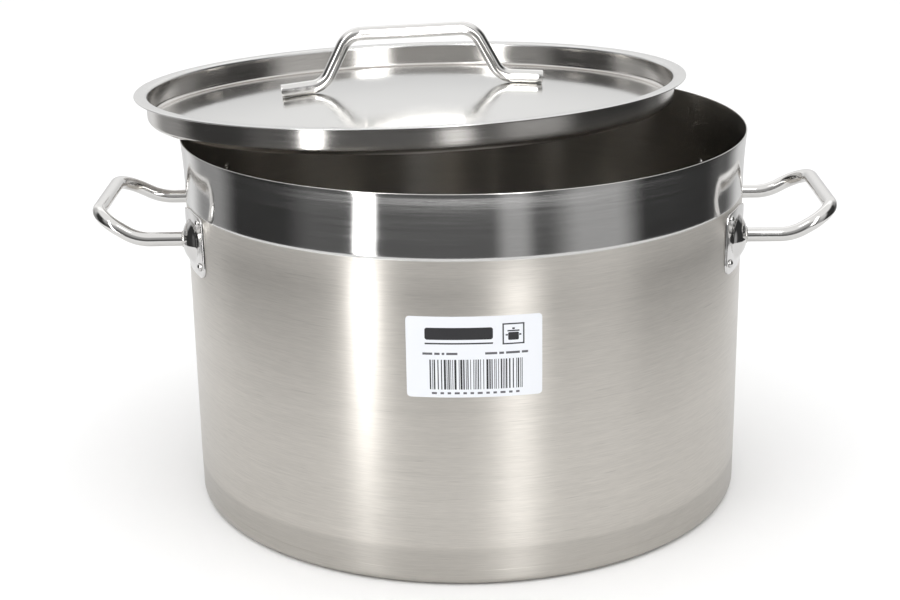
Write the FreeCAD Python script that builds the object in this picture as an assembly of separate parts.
import FreeCAD, Part
import math
import os

V = FreeCAD.Vector

# Stock pot, nominal 400 mm across and 260 mm deep inside, with a dish lid lying ajar on its rim.
# Units are millimetres. +Z is up, the origin is the centre of the base's underside, on the pot's axis,
# and the two side handles lie along X.

# ---- pot shell ----
pot_r = 200.0           # outside radius of the straight wall
pot_t = 1.0             # sheet thickness
pot_h = 266.0           # total height, to the top of the rim
flare_h = 36.0          # the wall opens gently over this height below the rim
flare_out = 1.8         # and stands out by this much at the rim
taper_z = 26.5          # the foot starts to draw in below this height
foot_r = 199.7          # outside radius where the foot meets the corner
corner_r = 7.0          # outside corner radius of the drawn shell
floor_z = 7.0           # upper face of the shell's floor

# ---- encapsulated base ----
cap_r = 199.7           # outside radius of the steel cap, flush with the foot
cap_t = 0.8
cap_corner = 5.0
cap_z = 11.2            # height of the cap's edge, dressed thin onto the shell's corner
core_top = 7.6          # height of the aluminium's outer edge
gap = 0.03              # clearance between bonded pieces

# ---- side handles and their brackets ----
tube_r = 5.0
tube_bore = 3.8
leg_y = 59.0            # the legs' distance from the middle plane
leg_z = 199.1           # mean height of the legs
handle_dz = {"left": 1.3, "right": -1.3}        # each handle sits this far off the mean height
handle_turn = {"left": 0.95, "right": -0.95}    # and is turned this many degrees about the pot's axis
leg_start = 193.4       # inner end of each leg
knee_x = 229.0          # the legs are straight up to here
grip_x = 258.0          # where the grip bar runs
grip_y = {"left": 53.0, "right": 57.0}          # half of each grip bar's theoretical length
grip_z = 215.3          # height of the grip bar
knee_bend = 34.0
grip_bend = 22.0

plate_t = 1.2
# the plate's outline as (outward from the leg, up from the leg, corner radius): full height on the
# outer side, narrower towards the middle of the handle
plate_outline = [(31.2, -21.2, 7.0), (31.2, 22.2, 7.0), (2.0, 22.2, 40.0),
                 (-31.2, 14.5, 8.0), (-31.2, -12.5, 8.0), (2.0, -21.2, 40.0)]
boss_top_x = 196.2      # flat top of the boss
# the boss's outside as (x, radius about the leg)
boss_skin = [(196.2, 8.0), (195.9, 9.0), (195.2, 10.5), (194.2, 12.2), (192.5, 14.6), (190.4, 16.6),
             (187.8, 18.4), (185.0, 19.7), (182.4, 20.9), (180.6, 22.4)]
weld_w = 1.3            # leg length of the weld bead

rivet_dy = 24.0         # rivets stand this far either side of the leg
rivet_mid = 2.0         # the outer pair is centred this far above the leg
rivet_dz_outer = 15.6   # half the spacing of the outer pair; one rivet holds the inner end, level with the leg
rivet_shank = 1.8
rivet_head_r = 2.9
rivet_head_h = 2.0
rivet_tail_h = 1.5
fit = 0.02              # radial clearance of a rivet in its hole, and of a leg in its boss

# ---- label ----
label_a0 = -38.0        # arc length either side of the front line
label_a1 = 48.5
label_z0 = 133.0
label_z1 = 187.0
label_corner = 2.5
label_t = 0.12

# ---- lid ----
lid_flange_r = 206.0
lid_skirt_r = 197.0
lid_t = 1.0
lid_lip = 2.5           # upper bend radius where the flange turns down
lid_corner = 3.0        # inside corner radius of the dish
dome_r = 96.0           # the panel is a sphere out to here, and a cone beyond
dome_top = -4.0         # the panel's middle below the flange
cone_m = -0.0998        # slope of the cone
lid_c = V(-39.2, 68.6, 285.5)         # middle of the flange's upper face
lid_n = V(-0.0208, 0.0376, 0.9991)    # direction that the lid faces
lid_turn = 8.8          # the lid handle's direction, degrees from X

# ---- lid handle ----
lh_foot_mid = 85.0      # the feet touch the panel here
lh_end = 99.2
lh_shoulder = 47.2      # theoretical corner of the top bar
lh_top = 35.8           # height of the top bar's axis above the flange
lh_lean = 62.0          # the risers' angle, degrees
lh_bend = 16.0
lh_shift = 2.0          # how far the handle sits off the lid's middle
lh_touch = 0.04         # gap where the feet meet the panel

os.makedirs("parts", exist_ok=True)


def line(a, b):
    return Part.LineSegment(V(a[0], 0, a[1]), V(b[0], 0, b[1])).toShape()


def arc(a, m, b):
    return Part.Arc(V(a[0], 0, a[1]), V(m[0], 0, m[1]), V(b[0], 0, b[1])).toShape()


def on(c, r, deg):
    t = math.radians(deg)
    return (c[0] + r * math.cos(t), c[1] + r * math.sin(t))


def lathe(edges):
    """Solid of revolution about Z of a closed profile in the XZ plane."""
    face = Part.Face(Part.Wire(edges))
    s = face.revolve(V(0, 0, 0), V(0, 0, 1), 360)
    return solid(s)


def solid(s):
    if s.ShapeType != "Solid":
        s = s.Solids[0] if len(s.Solids) == 1 else s
    if s.Volume < 0:
        s.reverse()
    return s


def save(shape, name):
    shape.exportStep("parts/%s.step" % name)
    print("%-24s solids %2d  volume %10.1f mm3  valid %s" % (name, len(shape.Solids), shape.Volume, shape.isValid()))


# ---------------------------------------------------------------- pot shell
fl_a = 2.0 * math.degrees(math.atan2(flare_out, flare_h))      # angle the lip turns through
fl_R = flare_h / math.sin(math.radians(fl_a))
lip_top = 0.5 * pot_t + (fl_R + 0.5 * pot_t) * math.sin(math.radians(fl_a))
fl_z = pot_h - lip_top                                          # the lip starts at this height
fc = (pot_r + fl_R, fl_z)
inner_r = pot_r - pot_t
floor_corner = corner_r - pot_t
cz = floor_z - pot_t + corner_r                                 # height of the corner arcs' centre
cc = (foot_r - corner_r, cz)
tip = on(fc, fl_R + 0.5 * pot_t, 180 - fl_a)
edges = [
    line((0, floor_z), (cc[0], floor_z)),
    arc((cc[0], floor_z), on(cc, floor_corner, -45), (cc[0] + floor_corner, cz)),
    line((cc[0] + floor_corner, cz), (inner_r, taper_z)),
    line((inner_r, taper_z), (inner_r, fl_z)),
    arc((inner_r, fl_z), on(fc, fl_R + pot_t, 180 - 0.5 * fl_a), on(fc, fl_R + pot_t, 180 - fl_a)),
    arc(on(fc, fl_R + pot_t, 180 - fl_a), on(tip, 0.5 * pot_t, 90 - fl_a), on(fc, fl_R, 180 - fl_a)),
    arc(on(fc, fl_R, 180 - fl_a), on(fc, fl_R, 180 - 0.5 * fl_a), (pot_r, fl_z)),
    line((pot_r, fl_z), (pot_r, taper_z)),
    line((pot_r, taper_z), (foot_r, cz)),
    arc((foot_r, cz), on(cc, corner_r, -45), (cc[0], floor_z - pot_t)),
    line((cc[0], floor_z - pot_t), (0, floor_z - pot_t)),
    line((0, floor_z - pot_t), (0, floor_z)),
]
pot = lathe(edges)

# ---------------------------------------------------------------- base cap and core
kc = (cap_r - cap_corner, cap_corner)
ki = cap_corner - cap_t
co = corner_r + gap                                             # the cap and the core follow the shell's corner
a_edge = -math.degrees(math.asin((cz - cap_z) / co))            # where the cap's thin edge ends
a_wall = -math.degrees(math.acos((cap_r - cap_t - cc[0]) / co)) # where its inner wall meets the corner
cap = lathe([
    line((0, 0), (kc[0], 0)),
    arc((kc[0], 0), on(kc, cap_corner, -45), (cap_r, kc[1])),
    line((cap_r, kc[1]), (cap_r, cap_z)),
    line((cap_r, cap_z), on(cc, co, a_edge)),
    arc(on(cc, co, a_edge), on(cc, co, 0.5 * (a_edge + a_wall)), on(cc, co, a_wall)),
    line(on(cc, co, a_wall), (cap_r - cap_t, kc[1])),
    arc((cap_r - cap_t, kc[1]), on(kc, ki, -45), (kc[0], cap_t)),
    line((kc[0], cap_t), (0, cap_t)),
    line((0, cap_t), (0, 0)),
])
a1 = -math.degrees(math.asin((cz - core_top) / co))
under = floor_z - pot_t - gap
core = lathe([
    line((0, cap_t + gap), (kc[0], cap_t + gap)),
    arc((kc[0], cap_t + gap), on(kc, ki - gap, -45), (kc[0] + ki - gap, kc[1])),
    line((kc[0] + ki - gap, kc[1]), (kc[0] + ki - gap, core_top)),
    line((kc[0] + ki - gap, core_top), on(cc, co, a1)),
    arc(on(cc, co, a1), on(cc, co, 0.5 * (a1 - 90)), (cc[0], under)),
    line((cc[0], under), (0, under)),
    line((0, under), (0, cap_t + gap)),
])


# ---------------------------------------------------------------- bent tubes
def bent_path(pts, radii):
    """Straight runs joined by tangent arcs. Returns the wire, its start and its first direction."""
    pts = [V(*p) for p in pts]
    cur = pts[0]
    out = []
    length = 0.0
    for i in range(1, len(pts) - 1):
        u = (pts[i - 1] - pts[i]).normalize()
        w = (pts[i + 1] - pts[i]).normalize()
        half = 0.5 * math.acos(max(-1.0, min(1.0, u.dot(w))))
        r = radii[i - 1]
        cut = r / math.tan(half)
        a = pts[i] + u * cut
        b = pts[i] + w * cut
        bis = (u + w).normalize()
        mid = pts[i] + bis * (r / math.sin(half) - r)
        out.append(Part.LineSegment(cur, a).toShape())
        out.append(Part.Arc(a, mid, b).toShape())
        length += (a - cur).Length + r * (math.pi - 2 * half)
        cur = b
    out.append(Part.LineSegment(cur, pts[-1]).toShape())
    length += (pts[-1] - cur).Length
    return Part.Wire(out), pts[0], (pts[1] - pts[0]).normalize(), length


def pipe(pts, radii, r):
    path, p0, d0, length = bent_path(pts, radii)
    ring = Part.Wire(Part.Circle(p0, d0, r).toShape())
    s = solid(path.makePipeShell([ring], True, False))
    return s, length


def tube(pts, radii, name):
    outer, length = pipe(pts, radii, tube_r)
    bore, _ = pipe(pts, radii, tube_bore)
    t = solid(outer.cut(bore))
    print("%s: tube length %.1f, volume ratio %.4f" % (
        name, length, t.Volume / (math.pi * (tube_r ** 2 - tube_bore ** 2) * length)))
    return t


def side_handle(sx, sn):
    gy = grip_y[sn]
    pts = [
        (sx * leg_start, -leg_y, leg_z),
        (sx * knee_x, -leg_y, leg_z),
        (sx * grip_x, -gy, grip_z),
        (sx * grip_x, gy, grip_z),
        (sx * knee_x, leg_y, leg_z),
        (sx * leg_start, leg_y, leg_z),
    ]
    return tube(pts, [knee_bend, grip_bend, grip_bend, knee_bend], "handle")


# ---------------------------------------------------------------- brackets, rivets and welds
def revolve_x(pts, y, z, sx):
    """Revolve a polygon of (x, r) about the line along X through (y, z)."""
    p = [V(x, r, 0) for x, r in pts]
    face = Part.Face(Part.makePolygon(p + [p[0]]))
    s = solid(face.revolve(V(0, 0, 0), V(1, 0, 0), 360))
    if sx < 0:
        s.rotate(V(0, 0, 0), V(0, 0, 1), 180)
    s.translate(V(0, y, z))
    return s


def outline_prism(sx, sy):
    """A prism along X with the plate's outline, each corner rounded to its own radius."""
    pts = [V(150.0, sy * (leg_y + v), leg_z + w) for v, w, _ in plate_outline]
    base = Part.Face(Part.makePolygon(pts + [pts[0]]))
    b = base.extrude(V(65.0, 0, 0))
    for (v, w, rad) in plate_outline:
        y, z = sy * (leg_y + v), leg_z + w
        sel = [e for e in b.Edges if len(e.Vertexes) == 2
               and all(abs(q.Y - y) < 1e-4 and abs(q.Z - z) < 1e-4 for q in e.Vertexes)]
        b = b.makeFillet(rad, sel)
    if sx < 0:
        b.translate(V(-365.0, 0, 0))
    return b


def rounded_prism(w, h, r, x0, x1, y, z):
    """A prism along X whose section is a w by h rectangle with rounded corners."""
    b = Part.makeBox(x1 - x0, w, h, V(x0, y - w / 2, z - h / 2))
    sel = [e for e in b.Edges if abs(e.Vertexes[0].Y - e.Vertexes[-1].Y) < 1e-6
           and abs(e.Vertexes[0].Z - e.Vertexes[-1].Z) < 1e-6]
    return b.makeFillet(r, sel)


def rivet_places(sy):
    out = [(sy * (leg_y - rivet_dy), leg_z)]
    for dz in (-rivet_dz_outer, rivet_dz_outer):
        out.append((sy * (leg_y + rivet_dy), leg_z + rivet_mid + dz))
    return out


def rivet_at(sx, y, z, pts):
    """Revolve a polygon of (distance along the radius, r) about the wall's normal at (y, z)."""
    s = revolve_x(pts, 0, 0, 1)
    a = math.degrees(math.asin(y / pot_r))
    s.rotate(V(0, 0, 0), V(0, 0, 1), a if sx > 0 else 180 - a)
    s.translate(V(0, 0, z))
    return s


def dome(x0, h, r, n=7):
    """Half section of a rivet head that starts flat at x0 and rises by h."""
    R = (r * r + h * h) / (2 * h)
    c = x0 + h - R
    t0 = math.asin(r / R)
    return [(c + R * math.cos(t0 * (1 - i / n)), R * math.sin(t0 * (1 - i / n))) for i in range(n)]


def rivet(sx, y, z):
    outer = pot_r + plate_t + 2 * gap
    head = [(p[0], p[1]) for p in dome(outer, rivet_head_h, rivet_head_r)]
    top = outer + rivet_head_h
    tail = dome(0, rivet_tail_h, rivet_head_r)
    tail = [(inner_r - gap - p[0], p[1]) for p in tail]
    low = inner_r - gap - rivet_tail_h
    pts = [(low, 0)] + tail[::-1] + [(inner_r - gap, rivet_shank), (outer, rivet_shank)] + head + [(top, 0)]
    clean = [pts[0]]
    for p in pts[1:]:
        if math.dist(p, clean[-1]) > 1e-6:
            clean.append(p)
    return rivet_at(sx, y, z, clean)


def rivet_hole(sx, y, z):
    r = rivet_shank + fit
    return rivet_at(sx, y, z, [(190, 0), (190, r), (210, r), (210, 0)])


def bracket(sx, sy):
    y = sy * leg_y
    prism = outline_prism(sx, sy)
    ri = pot_r + gap
    ro = ri + plate_t
    z0 = leg_z - 40.0
    outer = Part.makeCylinder(ro, 80.0, V(0, 0, z0))
    inner = Part.makeCylinder(ri, 80.0, V(0, 0, z0))
    plate = outer.cut(inner).common(prism)
    # the boss: a pressed cone with a rounded shoulder
    t = plate_t
    last = boss_skin[-1]
    skin = [(170.0, 0), (170.0, last[1])] + boss_skin[::-1] + [(boss_top_x, 0)]
    hollow = [(x - 0.75 * t, r - 0.62 * t) for x, r in boss_skin[2:]]
    hollow = [(170.0, 0), (170.0, hollow[-1][1])] + hollow[::-1] + [(boss_top_x - t, hollow[0][1] - 1.2), (boss_top_x - t, 0)]
    cone = revolve_x(skin, y, leg_z, sx).cut(inner).common(prism)
    void = revolve_x(hollow, y, leg_z, sx)
    leg = revolve_x([(170.0, 0), (170.0, tube_r + fit), (215.0, tube_r + fit), (215.0, 0)], y, leg_z, sx)
    s = plate.fuse(cone).cut(void).cut(leg)
    for ry, rz in rivet_places(sy):
        s = s.cut(rivet_hole(sx, ry, rz))
    s = s.removeSplitter()
    return solid(s)


def weld(sx, sy):
    """Fillet bead where the leg leaves the boss."""
    b = boss_top_x + 0.02
    r = tube_r + fit
    w = weld_w
    pts = [(b, r), (b, r + w), (b + 0.28 * w, r + 0.93 * w), (b + 0.6 * w, r + 0.62 * w),
           (b + 0.9 * w, r + 0.3 * w), (b + 1.15 * w, r)]
    return revolve_x(pts, sy * leg_y, leg_z, sx)


sides = {"left": -1, "right": 1}
ends = {"front": -1, "rear": 1}


def place(shape, sn):
    """Move a piece of one handle from the mean place to where that handle sits."""
    shape.rotate(V(0, 0, 0), V(0, 0, 1), handle_turn[sn])
    shape.translate(V(0, 0, handle_dz[sn]))
    return shape


for sn, sx in sides.items():
    for en, sy in ends.items():
        for ry, rz in rivet_places(sy):
            hole = rivet_hole(sx, ry, rz).common(Part.makeBox(60, 400, 400, V(150 if sx > 0 else -210, -200, 0)))
            pot = pot.cut(place(hole, sn))
save(solid(pot), "pot_shell")
save(core, "base_core")
save(cap, "base_cap")
for sn, sx in sides.items():
    save(place(side_handle(sx, sn), sn), "handle_%s" % sn)
    for en, sy in ends.items():
        save(place(bracket(sx, sy), sn), "bracket_%s_%s" % (sn, en))
        save(place(weld(sx, sy), sn), "weld_%s_%s" % (sn, en))
        save(place(Part.makeCompound([rivet(sx, ry, rz) for ry, rz in rivet_places(sy)]), sn), "rivets_%s_%s" % (sn, en))

# ---------------------------------------------------------------- label
li = pot_r + 0.01
lw = label_a1 - label_a0
mid = math.degrees(0.5 * (label_a0 + label_a1) / pot_r)
ring = Part.makeCylinder(li + label_t, 400, V(0, 0, 0)).cut(Part.makeCylinder(li, 400, V(0, 0, 0)))
chord = 2 * pot_r * math.sin(0.5 * lw / pot_r)
lab = ring.common(rounded_prism(chord, label_z1 - label_z0, label_corner, 150, 215, 0, 0.5 * (label_z0 + label_z1)))
lab.rotate(V(0, 0, 0), V(0, 0, 1), -90 + mid)
save(solid(lab), "label")

# ---------------------------------------------------------------- lid
Rf, Rs, t = lid_flange_r, lid_skirt_r, lid_t
Ri = Rs - t
k = math.sqrt(1 + cone_m ** 2)
sph = dome_r / math.sin(math.atan(-cone_m))                     # radius of the panel's middle
z_dome = dome_top - sph + sph * math.cos(math.asin(dome_r / sph))
q = z_dome - cone_m * dome_r
zc_sph = dome_top - sph
x0 = Ri - lid_corner
z0 = cone_m * x0 + q + lid_corner * k
lc = (x0, z0)
nrm = (-cone_m / k, 1 / k)                                      # the cone's upward normal
up_foot = (x0 - lid_corner * nrm[0], z0 - lid_corner * nrm[1])
lo_foot = (x0 - (lid_corner + t) * nrm[0], z0 - (lid_corner + t) * nrm[1])
up_dome = (dome_r, z_dome)
lo_dome = (dome_r - t * nrm[0], z_dome - t * nrm[1])
phi = math.degrees(math.atan2(-nrm[1], -nrm[0]))                # direction from the corner's centre to the cone
if phi > 0:
    phi -= 360
bc = (Ri + lid_lip, -lid_lip)
half = 0.5 * math.asin(dome_r / sph)
lid = lathe([
    line((0, dome_top - t), (0, dome_top)),
    arc((0, dome_top), (sph * math.sin(half), zc_sph + sph * math.cos(half)), up_dome),
    line(up_dome, up_foot),
    arc(up_foot, on(lc, lid_corner, 0.5 * phi), (Ri, z0)),
    line((Ri, z0), (Ri, -lid_lip)),
    arc((Ri, -lid_lip), on(bc, lid_lip, 135), (bc[0], 0)),
    line((bc[0], 0), (Rf - 0.5 * t, 0)),
    arc((Rf - 0.5 * t, 0), (Rf, -0.5 * t), (Rf - 0.5 * t, -t)),
    line((Rf - 0.5 * t, -t), (bc[0], -t)),
    arc((bc[0], -t), on(bc, lid_lip - t, 135), (Rs, -lid_lip)),
    line((Rs, -lid_lip), (Rs, z0)),
    arc((Rs, z0), on(lc, lid_corner + t, 0.5 * phi), lo_foot),
    line(lo_foot, lo_dome),
    arc(lo_dome, ((sph - t) * math.sin(half), zc_sph + (sph - t) * math.cos(half)), (0, dome_top - t)),
])

# the lid handle lies on the panel: each foot touches the sphere at lh_foot_mid
fa = math.asin(lh_foot_mid / sph)
reach = sph + tube_r + lh_touch
fx, fz = reach * math.sin(fa), zc_sph + reach * math.cos(fa)
slope = -math.tan(fa)
tan_l = math.tan(math.radians(lh_lean))
# where the foot's line meets the riser's line
kx = (lh_top + tan_l * lh_shoulder - (fz - slope * fx)) / (slope + tan_l)
kz = fz + slope * (kx - fx)
ex, ez = lh_end, fz + slope * (lh_end - fx)
lh = tube([(-ex, 0, ez), (-kx, 0, kz), (-lh_shoulder, 0, lh_top), (lh_shoulder, 0, lh_top), (kx, 0, kz), (ex, 0, ez)],
          [lh_bend] * 4, "lid handle")
lh.rotate(V(0, 0, zc_sph), V(0, 1, 0), math.degrees(lh_shift / sph))

n = V(lid_n).normalize()
a = V(0, 1, 0).cross(n).normalize()
b = n.cross(a)
ct, st = math.cos(math.radians(lid_turn)), math.sin(math.radians(lid_turn))
e = a * ct + b * st
m = n.cross(e)
M = FreeCAD.Matrix(e.x, m.x, n.x, lid_c.x, e.y, m.y, n.y, lid_c.y, e.z, m.z, n.z, lid_c.z, 0, 0, 0, 1)
save(solid(lid.transformed(M, True)), "lid_shell")
save(solid(lh.transformed(M, True)), "lid_handle")
